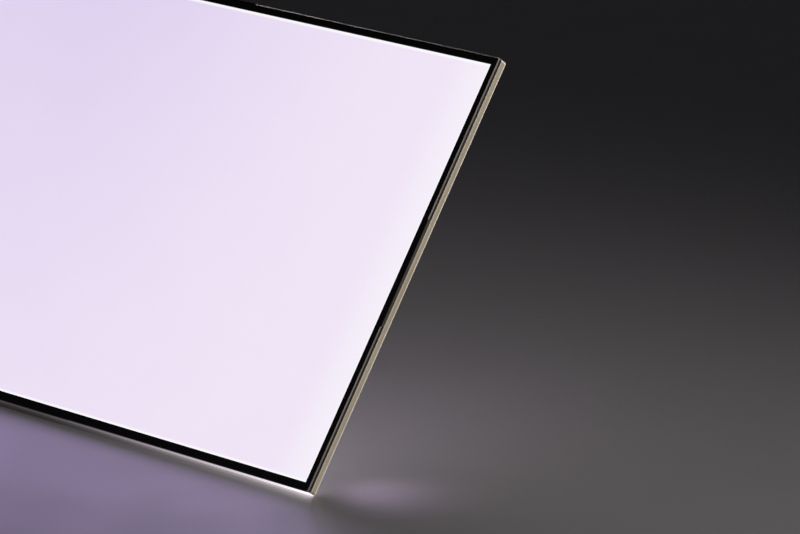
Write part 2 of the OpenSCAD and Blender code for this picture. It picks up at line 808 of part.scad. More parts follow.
module stand_leg() {
    end_y = -(leg_reach - 3);
    rib_x = 22;
    scallop_r = 10;
    scallop_depth = 3;
    plate_len = leg_top - end_y;
    stop = hinge_z - panel_t - base_t - leg_stop_gap;
    color([0.3, 0.3, 0.32]) leg_open() difference() {
        union() {
            translate([0, leg_top - plate_len / 2, leg_z]) linear_extrude(leg_t)
                rounded_rectangle(leg_w, plate_len, 2);
            // stiffening ribs on the outer face
            for (x = [-rib_x, rib_x]) translate([x, leg_top - plate_len / 2 + 4, leg_z + leg_t - eps])
                linear_extrude(0.8) rounded_rectangle(5, plate_len - 34, 2.4);
            both_ends() {
                translate([knuckle_x, 0, 0]) x_cylinder(knuckle_r, knuckle_len);
                translate([knuckle_x, leg_top - 1, leg_z]) cube([knuckle_len, 1 - leg_top, leg_t]);
                // heel that meets the bracket when the leg is open
                translate([knuckle_x + 1, 0, 0]) rotate([fold_angle, 0, 0]) translate([0, 0, -stop])
                    cube([knuckle_len - 2, 3, stop]);
            }
        }
        both_ends() translate([knuckle_x - 1, 0, 0]) x_cylinder(pin_r + 0.06, knuckle_len + 2);
        // shallow scallop for a fingertip
        translate([-leg_w / 2 - scallop_r + scallop_depth, end_y + 26, leg_z - eps])
            cylinder(r = scallop_r, h = leg_t + 2 * eps);
        translate([0, -(hinge_y - catch_y), leg_z - eps]) cylinder(r = disc_r + gap, h = 0.6 + eps);
    }
}

module leg_foot_pad() {
    end_y = -(leg_reach - 3);
    pad_w = leg_w - 4;
    front_z = leg_z - pad_skin;
    top_y = end_y + 7;
    color([0.03, 0.03, 0.03]) leg_open() difference() {
        translate([-pad_w / 2, 0, 0]) rotate([90, 0, 90]) linear_extrude(pad_w) polygon([
            [pad_floor(front_z), front_z],
            [pad_floor(pad_back_z), pad_back_z],
            [top_y, pad_back_z],
            [top_y, front_z]
        ]);
        translate([-leg_w / 2, end_y, leg_z]) cube([leg_w, 20, leg_t]);
    }
}

module strike_disc() {
    color([0.6, 0.6, 0.62]) leg_open() translate([0, -(hinge_y - catch_y), leg_z])
        cylinder(r = disc_r, h = 0.55);
}

module catch_magnet() {
    color([0.72, 0.72, 0.74]) stood_up() translate([0, catch_y, panel_t])
        cylinder(r = disc_r, h = 1);
}

front_bezel();
mould_frame();
rim_tape();
top_diffuser();
upper_prism_film();
lower_prism_film();
lower_diffuser();
light_guide();
reflector_sheet();
foam_backing();
back_plate();
left_heat_rail();
right_heat_rail();
left_board_tape();
right_board_tape();
left_led_board();
right_led_board();
left_leds();
right_leds();
left_flex();
right_flex();
plate_screws();
rear_housing();
housing_standoffs();
housing_screws();
board_standoffs();
board_screws();
driver_board();
inductor();
capacitors();
driver_chips();
power_transistors();
flex_connectors();
dc_inlet();
dc_inlet_pin();
switch_body();
switch_plunger();
power_button();
dimmer_pot();
dimmer_shaft();
dimmer_wheel();
indicator_led();
indicator_light_pipe();
tripod_insert();
left_hinge_bracket();
right_hinge_bracket();
hinge_screws();
hinge_pin();
pin_clips();
friction_washers();
stand_leg();
leg_foot_pad();
strike_disc();
catch_magnet();
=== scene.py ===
"""Looks for the thin LED panel light: materials, small added details, lights and camera."""
import json
import math

import bmesh
import bpy
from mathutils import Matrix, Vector


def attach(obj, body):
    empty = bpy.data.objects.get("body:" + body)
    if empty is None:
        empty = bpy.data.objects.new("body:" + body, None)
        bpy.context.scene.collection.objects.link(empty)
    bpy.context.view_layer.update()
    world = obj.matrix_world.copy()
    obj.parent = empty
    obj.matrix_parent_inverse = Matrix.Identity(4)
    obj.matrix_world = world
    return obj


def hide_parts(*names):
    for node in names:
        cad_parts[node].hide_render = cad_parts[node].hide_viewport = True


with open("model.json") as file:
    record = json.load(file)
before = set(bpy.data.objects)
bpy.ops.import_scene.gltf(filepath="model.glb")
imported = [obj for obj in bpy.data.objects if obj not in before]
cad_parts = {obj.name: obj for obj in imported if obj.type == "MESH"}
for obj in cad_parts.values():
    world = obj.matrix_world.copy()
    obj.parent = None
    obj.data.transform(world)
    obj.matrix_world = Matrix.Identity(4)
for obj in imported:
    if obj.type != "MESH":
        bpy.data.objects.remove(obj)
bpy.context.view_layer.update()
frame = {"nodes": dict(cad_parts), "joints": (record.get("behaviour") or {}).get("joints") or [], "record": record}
nodes = frame["nodes"]
joints = {j["name"]: j for j in frame["joints"]}

MM = 0.001

# ---- the panel's own directions and places, all from the frame ----

BACK = Vector(joints["dimmer_turn"]["axis"]).normalized()      # out of the panel's back
RIGHT = Vector((1, 0, 0))                                      # along the width, seen from the front
UP = RIGHT.cross(BACK).normalized()                            # up the panel
if UP.z < 0:
    UP = -UP


def panel_span(node, direction):
    """Lowest and highest place of a node's vertices along a direction."""
    along = [v.co.dot(direction) for v in nodes[node].data.vertices]
    return min(along), max(along)


def panel_point(x, up, depth):
    """A point from its place across, up and into the panel, in row coordinates."""
    return RIGHT * x + UP * up + BACK * depth


FACE_UP = panel_span("light_guide", UP)
FRAME_UP = panel_span("mould_frame", UP)
FRAME_DEPTH = panel_span("mould_frame", BACK)
FRONT_DEPTH = panel_span("front_bezel", BACK)[0]
SHELL_BACK = panel_span("rear_housing", BACK)[1]
PANEL_W = panel_span("mould_frame", RIGHT)[1] - panel_span("mould_frame", RIGHT)[0]
PANEL_H = FRAME_UP[1] - FRAME_UP[0]
LIT_W, LIT_H = 300 * MM, 180 * MM                              # the bezel's opening
LEAN = math.asin(-BACK.z)                                      # of the panel from upright
LEG_SPLAY = math.radians(joints["stand_fold"]["range_deg"][1]) - LEAN    # leg from the vertical


# ---- node tree helpers ----

class Tree:
    """A material under construction. Each method adds nodes and returns an output socket."""

    def __init__(self, name, base, roughness, metallic=0.0, **fixed):
        self.material = bpy.data.materials.new(name)
        self.material.use_nodes = True
        self.nodes = self.material.node_tree.nodes
        self.links = self.material.node_tree.links
        self.shader = self.nodes["Principled BSDF"]
        self.shader.inputs["Base Color"].default_value = (*base, 1)
        self.shader.inputs["Roughness"].default_value = roughness
        self.shader.inputs["Metallic"].default_value = metallic
        for key, value in fixed.items():
            self.shader.inputs[key.replace("_", " ")].default_value = value
        self.place = self.nodes.new("ShaderNodeTexCoord").outputs["Object"]

    def add(self, kind, *values, **props):
        node = self.nodes.new(kind)
        for key, value in props.items():
            setattr(node, key, value)
        for slot, value in zip(node.inputs, values):
            self.feed(slot, value)
        return node

    def feed(self, slot, value):
        if value is None:
            return
        if isinstance(value, bpy.types.NodeSocket):
            self.links.new(value, slot)
        else:
            slot.default_value = value

    def math(self, operation, *values, clamp=False):
        return self.add("ShaderNodeMath", *values, operation=operation, use_clamp=clamp).outputs[0]

    def along(self, direction):
        """Distance along a direction, in metres."""
        return self.add("ShaderNodeVectorMath", self.place, tuple(direction),
                        operation="DOT_PRODUCT").outputs["Value"]

    def panel_place(self, across=1.0, up=1.0, deep=1.0):
        """Coordinates across, up and into the panel, each scaled."""
        parts = [self.math("MULTIPLY", self.along(axis), scale)
                 for axis, scale in ((RIGHT, across), (UP, up), (BACK, deep))]
        return self.add("ShaderNodeCombineXYZ", *parts).outputs[0]

    def noise(self, scale, detail=3.0, rough=0.5, where=None):
        node = self.nodes.new("ShaderNodeTexNoise")
        self.links.new(where or self.place, node.inputs["Vector"])
        node.inputs["Scale"].default_value = scale
        node.inputs["Detail"].default_value = detail
        node.inputs["Roughness"].default_value = rough
        return node.outputs["Fac"]

    def cells(self, scale, where=None, feature="F1"):
        node = self.nodes.new("ShaderNodeTexVoronoi")
        node.feature = feature
        self.links.new(where or self.place, node.inputs["Vector"])
        node.inputs["Scale"].default_value = scale
        return node.outputs["Distance"]

    def ramp(self, value, low, high, to_low=0.0, to_high=1.0, smooth=True):
        node = self.nodes.new("ShaderNodeMapRange")
        node.interpolation_type = "SMOOTHSTEP" if smooth else "LINEAR"
        for slot, given in zip(node.inputs, (value, low, high, to_low, to_high)):
            self.feed(slot, given)
        return node.outputs["Result"]

    def mix(self, factor, first, second, blend="MIX"):
        node = self.nodes.new("ShaderNodeMix")
        node.data_type = "RGBA"
        node.blend_type = blend
        self.feed(node.inputs["Factor"], factor)
        colours = [s for s in node.inputs if s.type == "RGBA"]
        for slot, value in zip(colours, (first, second)):
            self.feed(slot, value if isinstance(value, bpy.types.NodeSocket) else (*value, 1))
        return next(s for s in node.outputs if s.type == "RGBA")

    def colour(self, value):
        self.feed(self.shader.inputs["Base Color"], value)

    def rough(self, value):
        self.feed(self.shader.inputs["Roughness"], value)

    def bump(self, *heights):
        """Chains bumps, each (height socket, strength, distance in metres)."""
        normal = None
        for height, strength, distance in heights:
            node = self.nodes.new("ShaderNodeBump")
            node.inputs["Strength"].default_value = strength
            node.inputs["Distance"].default_value = distance
            self.links.new(height, node.inputs["Height"])
            if normal is not None:
                self.links.new(normal, node.inputs["Normal"])
            normal = node.outputs[0]
        self.links.new(normal, self.shader.inputs["Normal"])


def shade(colour, factor):
    return tuple(min(1.0, c * factor) for c in colour)


# ---- materials ----

def moulded(name, base, roughness=0.5, grain=2600, depth=0.00004, mottle=0.12, **fixed):
    """Injection-moulded plastic: spark-eroded grain, faint flow mottling and handled patches."""
    t = Tree(name, base, roughness, **fixed)
    flow = t.noise(35, 4, 0.55)
    t.colour(t.mix(t.ramp(flow, 0.3, 0.7), shade(base, 1 - mottle), shade(base, 1 + mottle)))
    t.rough(t.ramp(t.noise(90, 3), 0.3, 0.7, roughness - 0.07, roughness + 0.08))
    t.bump((t.noise(grain, 2, 0.6), 0.35, depth), (t.cells(grain * 0.6), 0.2, depth))
    return t.material


def brushed(name, base, roughness=0.3, across=1400.0, along=14.0, **fixed):
    """Sheet metal with a fine straight grain along the panel's width."""
    t = Tree(name, base, roughness, metallic=1.0, **fixed)
    grain = t.noise(1.0, 5, 0.65, t.panel_place(along, across, across))
    cloud = t.noise(18, 3)
    t.colour(t.mix(t.ramp(grain, 0.25, 0.75), shade(base, 0.86), shade(base, 1.1)))
    t.rough(t.math("ADD", t.ramp(grain, 0.3, 0.7, roughness - 0.06, roughness + 0.07),
                   t.ramp(cloud, 0.3, 0.7, -0.04, 0.06)))
    t.bump((grain, 0.25, 0.00002))
    return t.material


def turned(name, base, roughness=0.28, pitch=3200):
    """Small machined metal parts with fine tool marks and slight tarnish."""
    t = Tree(name, base, roughness, metallic=1.0)
    tarnish = t.noise(260, 4, 0.6)
    t.colour(t.mix(t.ramp(tarnish, 0.35, 0.75), base, shade(base, 0.72)))
    t.rough(t.ramp(tarnish, 0.3, 0.8, roughness - 0.06, roughness + 0.14))
    t.bump((t.noise(pitch, 2), 0.15, 0.00002))
    return t.material


def powder_coat(name, base):
    t = Tree(name, base, 0.45, Specular_IOR_Level=0.45)
    peel = t.noise(900, 2, 0.4)
    fine = t.noise(3600, 2, 0.5)
    t.colour(t.mix(t.ramp(fine, 0.35, 0.7), shade(base, 0.9), shade(base, 1.12)))
    t.rough(t.ramp(peel, 0.3, 0.7, 0.43, 0.49))
    t.bump((peel, 0.25, 0.00004), (fine, 0.3, 0.00003))
    return t.material


def rubber(name, base):
    t = Tree(name, base, 0.82, Specular_IOR_Level=0.3)
    dust = t.noise(700, 5, 0.7)
    t.colour(t.mix(t.ramp(dust, 0.5, 0.8), base, shade(base, 3.0)))
    t.rough(t.ramp(dust, 0.3, 0.8, 0.74, 0.92))
    t.bump((t.noise(2400, 3, 0.6), 0.5, 0.00005))
    return t.material


def film(name, base, roughness=0.35, transmission=0.0):
    """Thin plastic sheet with a very fine surface tooth."""
    t = Tree(name, base, roughness, Transmission_Weight=transmission, IOR=1.5)
    haze = t.noise(60, 3)
    t.colour(t.mix(t.ramp(haze, 0.3, 0.7), shade(base, 0.96), base))
    t.rough(t.ramp(haze, 0.3, 0.7, roughness - 0.05, roughness + 0.05))
    t.bump((t.noise(5200, 1), 0.1, 0.00001))
    return t.material


def circuit_board(name, mask, copper):
    """Solder mask with traces and pads showing through as a lighter tone."""
    t = Tree(name, mask, 0.32, Coat_Weight=0.4)
    grid = t.panel_place(420, 420, 0)
    traces = t.ramp(t.cells(1.0, grid, "DISTANCE_TO_EDGE"), 0.03, 0.08, 1, 0)
    t.colour(t.mix(traces, mask, copper))
    t.bump((traces, 0.3, 0.00003), (t.noise(2000, 2), 0.1, 0.00002))
    return t.material


def outline_distance(t):
    """How far outside the panel's outline a place is: 0 on its four sides and negative inside them."""
    across = t.math("SUBTRACT", t.math("ABSOLUTE", t.along(RIGHT)), PANEL_W / 2)
    up = t.math("SUBTRACT", t.along(UP), sum(FRAME_UP) / 2)
    return t.math("MAXIMUM", across, t.math("SUBTRACT", t.math("ABSOLUTE", up), PANEL_H / 2))


def bezel_black():
    """Matt black moulding with a painted highlight on its bevel at the two ends and a painted lit tone on the snap
    tabs' sides.
    """
    base = (0.024, 0.0195, 0.0245)
    t = Tree("bezel_black", base, 0.55, Specular_IOR_Level=0.1)
    depth = t.math("SUBTRACT", t.along(BACK), FRONT_DEPTH)
    bevel = t.math("MULTIPLY", t.ramp(depth, 0.01 * MM, 0.08 * MM),
                   t.ramp(depth, 0.6 * MM, 0.64 * MM, 1.0, 0.0))
    # the bevel's painted highlight is kept to the two ends and is faint along the top and bottom
    from_middle = t.math("ABSOLUTE", t.along(RIGHT))
    at_ends = t.ramp(from_middle, PANEL_W / 2 - 2 * MM, PANEL_W / 2 - 0.8 * MM, 0.03, 1.0)
    bevel = t.math("MULTIPLY", bevel, at_ends)
    tab_side = t.ramp(outline_distance(t), -0.12 * MM, -0.04 * MM)
    speck = t.noise(1500, 3, 0.6)
    face = t.mix(t.ramp(speck, 0.4, 0.75), base, shade(base, 1.6))
    # painted highlight: the bevel gets a light warm grey in place of the sheen that light gives its edge
    bevel_painted_highlight = t.mix(t.ramp(t.noise(1.0, 4, 0.6, t.panel_place(60, 60, 900)), 0.3, 0.7),
                 (0.36, 0.315, 0.32), (0.50, 0.44, 0.445))
    colour = t.mix(bevel, face, bevel_painted_highlight)
    # painted lit tone: the snap tabs' sides get a warm grey where light falls on them
    t.colour(t.mix(tab_side, colour, (0.06, 0.051, 0.046)))
    t.rough(t.ramp(t.noise(120, 3), 0.3, 0.7, 0.42, 0.6))
    t.bump((t.noise(3800, 2, 0.6), 0.35, 0.00003))
    return t.material


def ivory_frame():
    """Satin ivory moulding, with painted highlights on its rounded edges, painted shade in the groove beside the
    bezel and a painted glow along its bottom side.
    """
    base = (0.385, 0.345, 0.255)
    light = (0.96, 0.89, 0.78)
    t = Tree("ivory_frame", base, 0.42, Specular_IOR_Level=0.45,
             Subsurface_Weight=0.2, Subsurface_Radius=(0.0012, 0.001, 0.0007), Subsurface_Scale=1.0)
    depth = t.math("SUBTRACT", t.along(BACK), FRAME_DEPTH[0])
    height = FRAME_DEPTH[1] - FRAME_DEPTH[0]
    # painted highlights: the rounded front and back edges are lightened towards a pale tone, as they would look
    # where they catch light
    near_front = t.ramp(depth, 0.4 * MM, 1.4 * MM, 0.25, 0.0)
    near_back = t.ramp(depth, height - 1.1 * MM, height - 0.25 * MM)
    flow = t.noise(1.0, 4, 0.55, t.panel_place(25, 25, 400))
    body = t.mix(t.ramp(flow, 0.3, 0.7), shade(base, 0.93), shade(base, 1.07))
    body = t.mix(t.math("MAXIMUM", near_front, near_back), body, light)
    # painted shade in the groove beside the bezel: a dark brown where the groove lies in shadow
    t.colour(t.mix(t.ramp(depth, 0.05 * MM, 0.38 * MM, 1.0, 0.0), body, (0.05, 0.042, 0.033)))
    t.rough(t.ramp(t.noise(160, 3), 0.3, 0.7, 0.36, 0.5))
    t.bump((t.noise(2200, 3, 0.6), 0.3, 0.00003), (t.noise(240, 2), 0.15, 0.00008))
    # painted glow: the bottom side is given a faint emission, brightest at its right-hand end, in place of light
    # from the guide and the floor
    on_bottom = t.ramp(t.along(UP), FRAME_UP[0] + 0.1 * MM, FRAME_UP[0] + 0.35 * MM, 1.0, 0.0)
    near_end = t.ramp(t.along(RIGHT), PANEL_W / 2 - 170 * MM, PANEL_W / 2, smooth=False)
    bottom_painted_glow = t.math("MULTIPLY", on_bottom, t.math("ADD", t.math("POWER", near_end, 2.2), 0.05))
    t.feed(t.shader.inputs["Emission Color"], t.mix(bottom_painted_glow, (0, 0, 0), (1.0, 0.95, 1.0)))
    t.shader.inputs["Emission Strength"].default_value = 0.9
    return t.material


def lit_diffuser():
    """The lit face: lilac at the top left, whiter towards the right-hand LED strip, faintly uneven."""
    lilac = (0.735, 0.635, 0.865)
    middle = (0.868, 0.778, 0.920)
    near_leds = (0.90, 0.855, 0.945)
    t = Tree("lit_diffuser", (0.05, 0.05, 0.055), 0.6, Specular_IOR_Level=0.3)
    x = t.along(RIGHT)
    up = t.math("SUBTRACT", t.along(UP), FACE_UP[0])
    # the falloff from the right-hand LEDs is stronger towards the top
    leftward = t.ramp(x, LIT_W * 0.45, -LIT_W * 0.22, 0.0, 1.0)
    fade = t.math("MULTIPLY", leftward, t.ramp(up, 0.0, LIT_H, 0.3, 1.0, smooth=False))
    patches = t.noise(1.0, 5, 0.62, t.panel_place(26, 26, 0))
    fade = t.math("ADD", fade, t.ramp(patches, 0.3, 0.7, -0.05, 0.05, smooth=False), clamp=True)
    base = t.mix(fade, middle, lilac)
    strip = t.ramp(x, LIT_W / 2 - 22 * MM, LIT_W / 2 - 2 * MM)
    base = t.mix(strip, base, near_leds)
    # tiny bright specks where dust sits on the sheet
    spots = t.ramp(t.cells(260, t.panel_place(1, 1, 0)), 0.035, 0.06, 1.0, 0.0)
    rare = t.ramp(t.noise(38, 2, 0.5, t.panel_place(1, 1, 0)), 0.62, 0.68)
    base = t.mix(t.math("MULTIPLY", t.math("MULTIPLY", spots, rare), 0.6), base, (1, 1, 1))
    # brighter line where the sheet meets the bezel
    edge_x = t.ramp(t.math("ABSOLUTE", x), LIT_W / 2 - 1.5 * MM, LIT_W / 2 - 0.5 * MM)
    middle_up = (FACE_UP[1] - FACE_UP[0]) / 2
    edge_up = t.ramp(t.math("ABSOLUTE", t.math("SUBTRACT", up, middle_up)),
                     LIT_H / 2 - 1.5 * MM, LIT_H / 2 - 0.5 * MM)
    base = t.mix(t.math("MULTIPLY", t.math("MAXIMUM", edge_x, edge_up), 0.8), base, (1, 1, 1))
    t.feed(t.shader.inputs["Emission Color"], base)
    t.shader.inputs["Emission Strength"].default_value = 1.0
    t.bump((t.noise(4200, 2), 0.15, 0.00002))
    return t.material


def anodised(name, base):
    return brushed(name, base, 0.36, across=900, along=9)


def led_package():
    t = Tree("led_package", (0.93, 0.8, 0.3), 0.35)
    t.colour(t.mix(t.ramp(t.noise(1500, 2), 0.3, 0.7), (0.9, 0.74, 0.24), (0.95, 0.86, 0.4)))
    t.bump((t.noise(2600, 2), 0.2, 0.00002))
    return t.material


def indicator_glow():
    """Clear light pipe with a soft green glow from the LED under it."""
    t = Tree("clear_pipe", (0.55, 0.9, 0.62), 0.25, Transmission_Weight=0.4, IOR=1.5)
    glow = t.mix(t.ramp(t.noise(900, 2), 0.3, 0.7), (0.2, 0.75, 0.3), (0.35, 0.95, 0.45))
    t.feed(t.shader.inputs["Emission Color"], glow)
    t.shader.inputs["Emission Strength"].default_value = 0.7
    t.bump((t.noise(1800, 2), 0.1, 0.00002))
    return t.material


def printed_mark(name, base):
    t = Tree(name, base, 0.5)
    t.colour(t.mix(t.ramp(t.noise(3000, 3), 0.35, 0.7), shade(base, 0.85), base))
    t.bump((t.noise(5000, 2), 0.2, 0.00001))
    return t.material


MATERIALS = {
    "bezel_black": bezel_black(),
    "ivory_frame": ivory_frame(),
    "black_tape": film("black_tape", (0.008, 0.008, 0.008), 0.7),
    "lit_diffuser": lit_diffuser(),
    "optical_film": film("optical_film", (0.82, 0.86, 0.9), 0.2, 0.6),
    "white_film": film("white_film", (0.92, 0.92, 0.92), 0.4),
    "acrylic": film("acrylic", (0.86, 0.94, 0.94), 0.08, 0.9),
    "grey_foam": rubber("grey_foam", (0.1, 0.1, 0.11)),
    "plate_aluminium": anodised("plate_aluminium", (0.62, 0.63, 0.65)),
    "bare_aluminium": brushed("bare_aluminium", (0.72, 0.73, 0.74), 0.3),
    "thermal_tape": rubber("thermal_tape", (0.8, 0.8, 0.76)),
    "white_board": circuit_board("white_board", (0.88, 0.88, 0.86), (0.8, 0.78, 0.7)),
    "led_package": led_package(),
    "flex_film": film("flex_film", (0.62, 0.3, 0.05), 0.25),
    "steel_screws": turned("steel_screws", (0.6, 0.6, 0.61)),
    "housing_grey": moulded("housing_grey", (0.018, 0.018, 0.020), 0.5, grain=1500, depth=0.00012),
    "brass_parts": turned("brass_parts", (0.78, 0.56, 0.24)),
    "black_screws": turned("black_screws", (0.09, 0.09, 0.095), 0.35),
    "green_board": circuit_board("green_board", (0.02, 0.16, 0.06), (0.08, 0.35, 0.12)),
    "dark_component": moulded("dark_component", (0.025, 0.025, 0.026), 0.55, grain=3200),
    "cream_connector": moulded("cream_connector", (0.8, 0.76, 0.64), 0.45, mottle=0.04),
    "inlet_black": moulded("inlet_black", (0.012, 0.012, 0.013), 0.4),
    "plated_pin": turned("plated_pin", (0.78, 0.78, 0.8), 0.18),
    "plunger_white": moulded("plunger_white", (0.78, 0.78, 0.77), 0.4, mottle=0.03),
    "button_grey": moulded("button_grey", (0.075, 0.075, 0.08), 0.38, grain=3000),
    "wheel_grey": moulded("wheel_grey", (0.035, 0.035, 0.038), 0.55, grain=2200),
    "blue_component": moulded("blue_component", (0.03, 0.12, 0.36), 0.4),
    "indicator_package": film("indicator_package", (0.9, 0.9, 0.9)),
    "clear_pipe": indicator_glow(),
    "hinge_steel": turned("hinge_steel", (0.5, 0.5, 0.51), 0.34, pitch=2000),
    "pin_steel": turned("pin_steel", (0.66, 0.66, 0.67), 0.22),
    "washer_nylon": moulded("washer_nylon", (0.82, 0.79, 0.7), 0.4, mottle=0.04),
    "leg_paint": powder_coat("leg_paint", (0.03, 0.03, 0.033)),
    "foot_rubber": rubber("foot_rubber", (0.016, 0.016, 0.016)),
    "magnet_nickel": turned("magnet_nickel", (0.7, 0.69, 0.68), 0.16),
}
MARK_WHITE = printed_mark("mark_white", (0.7, 0.7, 0.7))


def dress(obj, material):
    obj.data.materials.clear()
    obj.data.materials.append(material)


for part in frame["record"]["subparts"]:
    dress(nodes[part["node"]], MATERIALS[part["material_slot"]])


# ---- pieces built here, each riding on a CAD body ----

def node_middle(node):
    """A node's middle across and up the panel."""
    return tuple(sum(panel_span(node, direction)) / 2 for direction in (RIGHT, UP))


def make_piece(name, points, faces, material, body, smooth_angle=35, stands_for=()):
    mesh = bpy.data.meshes.new(name)
    mesh.from_pydata([tuple(p) for p in points], [], faces)
    built = bmesh.new()
    built.from_mesh(mesh)
    bmesh.ops.recalc_face_normals(built, faces=built.faces[:])
    for edge in built.edges:
        edge.smooth = len(edge.link_faces) == 2 and edge.calc_face_angle(0) < math.radians(smooth_angle)
    for face in built.faces:
        face.smooth = True
    built.to_mesh(mesh)
    built.free()
    obj = bpy.data.objects.new(name, mesh)
    bpy.context.scene.collection.objects.link(obj)
    dress(obj, material)
    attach(obj, body)
    if stands_for:
        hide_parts(*stands_for)
    return obj


def grid_faces(rows, columns, wrap_rows=False, wrap_columns=False, start=0):
    """Quads over a grid of points stored row by row."""
    faces = []
    for r in range(rows if wrap_rows else rows - 1):
        for c in range(columns if wrap_columns else columns - 1):
            r2, c2 = (r + 1) % rows, (c + 1) % columns
            faces.append(tuple(start + a * columns + b for a, b in ((r, c), (r, c2), (r2, c2), (r2, c))))
    return faces


def threaded_insert():
    """The brass insert with a quarter-inch 20-thread cut inside it and a knurl on its flange."""
    pitch, minor, major = 1.27 * MM, 2.55 * MM, 3.17 * MM
    flange_r, body_r, flange_t, lead_in = 6.0 * MM, 4.75 * MM, 0.75 * MM, 0.5 * MM
    columns, steps_deep = 96, 72
    low, high = panel_span("tripod_insert", BACK)
    across, up = node_middle("tripod_insert")
    rows = []
    for i in range(steps_deep + 1):
        depth = low + (high - low) * i / steps_deep
        flare = max(0.0, 1 - min(depth - low, high - depth) / lead_in)
        row = []
        for c in range(columns):
            phase = ((depth - low) / pitch - c / columns) % 1.0
            cut = min(1.0, max(0.0, 1.25 - abs(phase - 0.5) * 4))
            radius = max(minor + (major - minor) * cut, minor + (major + 0.1 * MM - minor) * flare)
            row.append((radius, depth))
        rows.append(row)
    # outside, from the flange's face round to the back end, with small rounded corners
    edge = 0.12 * MM
    outside = [(flange_r - edge, high), (flange_r, high - edge), (flange_r, high - flange_t),
               (body_r, high - flange_t), (body_r, low + edge), (body_r - edge, low)]
    for radius, depth in outside:
        knurl = 0.12 * MM if radius == flange_r else 0.0
        rows.append([(radius - knurl * (c % 2), depth) for c in range(columns)])
    points = []
    for row in rows:
        for c, (radius, depth) in enumerate(row):
            angle = 2 * math.pi * c / columns
            points.append(panel_point(across + radius * math.cos(angle),
                                      up + radius * math.sin(angle), depth))
    faces = grid_faces(len(rows), columns, wrap_rows=True, wrap_columns=True)
    make_piece("tripod_thread_insert", points, faces, MATERIALS["brass_parts"], "panel",
               stands_for=("tripod_insert",))


def ribbed_foot():
    """The rubber sleeve on the leg's end, with grip ribs on both faces and a tread underneath."""
    down = Vector((0, 1, 0)) * math.sin(LEG_SPLAY) - Vector((0, 0, 1)) * math.cos(LEG_SPLAY)
    outward = Vector((0, 1, 0)) * math.cos(LEG_SPLAY) + Vector((0, 0, 1)) * math.sin(LEG_SPLAY)
    verts = [v.co for v in nodes["leg_foot_pad"].data.vertices]
    inner, outer = (f(v.dot(outward) for v in verts) for f in (min, max))
    top = min(v.dot(down) for v in verts)
    left, right = (f(v.x for v in verts) for f in (min, max))
    leg_end = max(v.co.dot(down) for v in nodes["stand_leg"].data.vertices)
    skin = 1.0 * MM
    rib_depth, round_r = 0.4 * MM, 0.5 * MM

    def on_floor(out):
        """How far down the leg the floor is at a place through the foot's thickness."""
        return out * math.tan(LEG_SPLAY)

    def face_line(out, inward):
        """Points down one face of the foot, with grooves between the ribs."""
        line = [(out + inward * round_r, top), (out, top + round_r)]
        last = on_floor(out) - 0.9 * MM
        first = top + 1.6 * MM
        count = 4
        for i in range(count):
            at = first + (last - first) * (i + 0.5) / count
            line += [(out, at - 0.5 * MM), (out + inward * rib_depth, at - 0.25 * MM),
                     (out + inward * rib_depth, at + 0.25 * MM), (out, at + 0.5 * MM)]
        return line + [(out, last)]

    outline = face_line(outer, -1)
    treads = 5
    for i in range(treads):
        for share, cut in ((0.08, 0), (0.5, 0), (0.6, 1), (0.9, 1)):
            out = outer + (inner - outer) * (i + share) / treads
            if i < treads - 1 or not cut:
                outline.append((out, on_floor(out) - cut * 0.35 * MM))
    outline += reversed(face_line(inner, 1))
    # the pocket that the leg's end goes into
    outline += [(inner + skin, top), (inner + skin, leg_end),
                (outer - skin, leg_end), (outer - skin, top)]

    ends = [left, left + 0.3 * MM, right - 0.3 * MM, right]
    squeeze = [0.94, 1.0, 1.0, 0.94]
    middle_out = (inner + outer) / 2
    points = []
    for x, keep in zip(ends, squeeze):
        for out, along in outline:
            out = middle_out + (out - middle_out) * keep
            points.append(Vector((x, 0, 0)) + outward * out + down * min(along, on_floor(out)))
    count = len(outline)
    faces = grid_faces(len(ends), count, wrap_columns=True)
    faces += [tuple(range(count)), tuple(reversed(range(count * 3, count * 4)))]
    make_piece("ribbed_rubber_foot", points, faces, MATERIALS["foot_rubber"], "stand",
               stands_for=("leg_foot_pad",))


def brightness_dots():
    """Seven raised dots round the dimmer wheel, growing towards the bright end."""
    across, up = node_middle("dimmer_wheel")
    count, ring_r, sides = 7, 13.5 * MM, 20
    points, faces = [], []
    for i in range(count):
        angle = math.radians(108 + 84 * i / (count - 1))
        cx, cy = across + ring_r * math.cos(angle), up + ring_r * math.sin(angle)
        radius = (0.4 + 0.1 * i) * MM
        start = len(points)
        for share, height in ((1.0, -0.05), (1.0, 0.04), (0.8, 0.09), (0.35, 0.11)):
            for c in range(sides):
                turn = 2 * math.pi * c / sides
                points.append(panel_point(cx + radius * share * math.cos(turn),
                                          cy + radius * share * math.sin(turn),
                                          SHELL_BACK + height * MM))
        last_row = start + 3 * sides
        faces += grid_faces(4, sides, wrap_columns=True, start=start)
        faces += [tuple(range(start, start + sides)), tuple(reversed(range(last_row, last_row + sides)))]
    make_piece("brightness_dots", points, faces, MARK_WHITE, "panel", smooth_angle=50)


